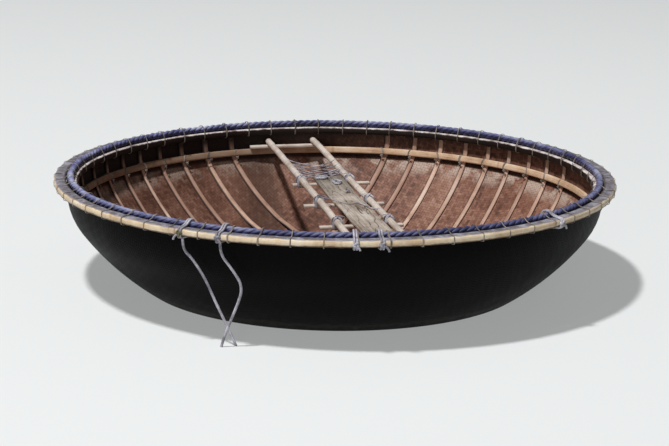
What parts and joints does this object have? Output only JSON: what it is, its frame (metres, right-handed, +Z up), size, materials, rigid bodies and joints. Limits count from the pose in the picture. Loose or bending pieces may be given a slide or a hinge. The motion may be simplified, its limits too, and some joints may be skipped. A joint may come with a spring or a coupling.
{
  "type": "round basket coracle",
  "caption": "Round woven bamboo basket boat with lashed rim hoops, a blue rim rope, crossing ribs and a pole bench.",
  "frame": {"origin": "centre of the waterline circle, on the water that the empty boat floats on", "axes": "+Z up; +Y away from the viewer of the picture, +X to the viewer's right; the bench poles run 16.2 degrees off Y"},
  "size_m": [2.0042, 2.0042, 0.4883],
  "materials": {
    "pitched_basket": "satin",
    "rib_bamboo": "satin",
    "pale_bamboo": "satin",
    "brown_bamboo": "satin",
    "blue_rope": "matte",
    "weathered_wood": "matte",
    "pale_cord": "matte"
  },
  "bodies": {
    "root": {"bench_crosspiece_far": "weathered_wood", "bench_crosspiece_near": "weathered_wood", "bench_lashings": "pale_cord", "bench_plank": "weathered_wood", "bench_pole_left": "weathered_wood", "bench_pole_right": "weathered_wood", "bench_slats": "weathered_wood", "bridle_rope": "pale_cord", "hull_shell": "pitched_basket", "rib_lower_1": "rib_bamboo", "rib_lower_2": "rib_bamboo", "rib_lower_3": "rib_bamboo", "rib_lower_4": "rib_bamboo", "rib_lower_5": "rib_bamboo", "rib_lower_6": "rib_bamboo", "rib_lower_7": "rib_bamboo", "rib_lower_8": "rib_bamboo", "rib_lower_9": "rib_bamboo", "rib_upper_1": "rib_bamboo", "rib_upper_2": "rib_bamboo", "rib_upper_3": "rib_bamboo", "rib_upper_4": "rib_bamboo", "rib_upper_5": "rib_bamboo", "rib_upper_6": "rib_bamboo", "rib_upper_7": "rib_bamboo", "rib_upper_8": "rib_bamboo", "rib_upper_9": "rib_bamboo", "rim_hitches": "pale_cord", "rim_inner_hoop": "brown_bamboo", "rim_lashings": "pale_cord", "rim_outer_hoop": "pale_bamboo", "rim_rope": "blue_rope", "stringer_hoop": "brown_bamboo", "stringer_lashings": "pale_cord"}
  },
  "joints": []
}
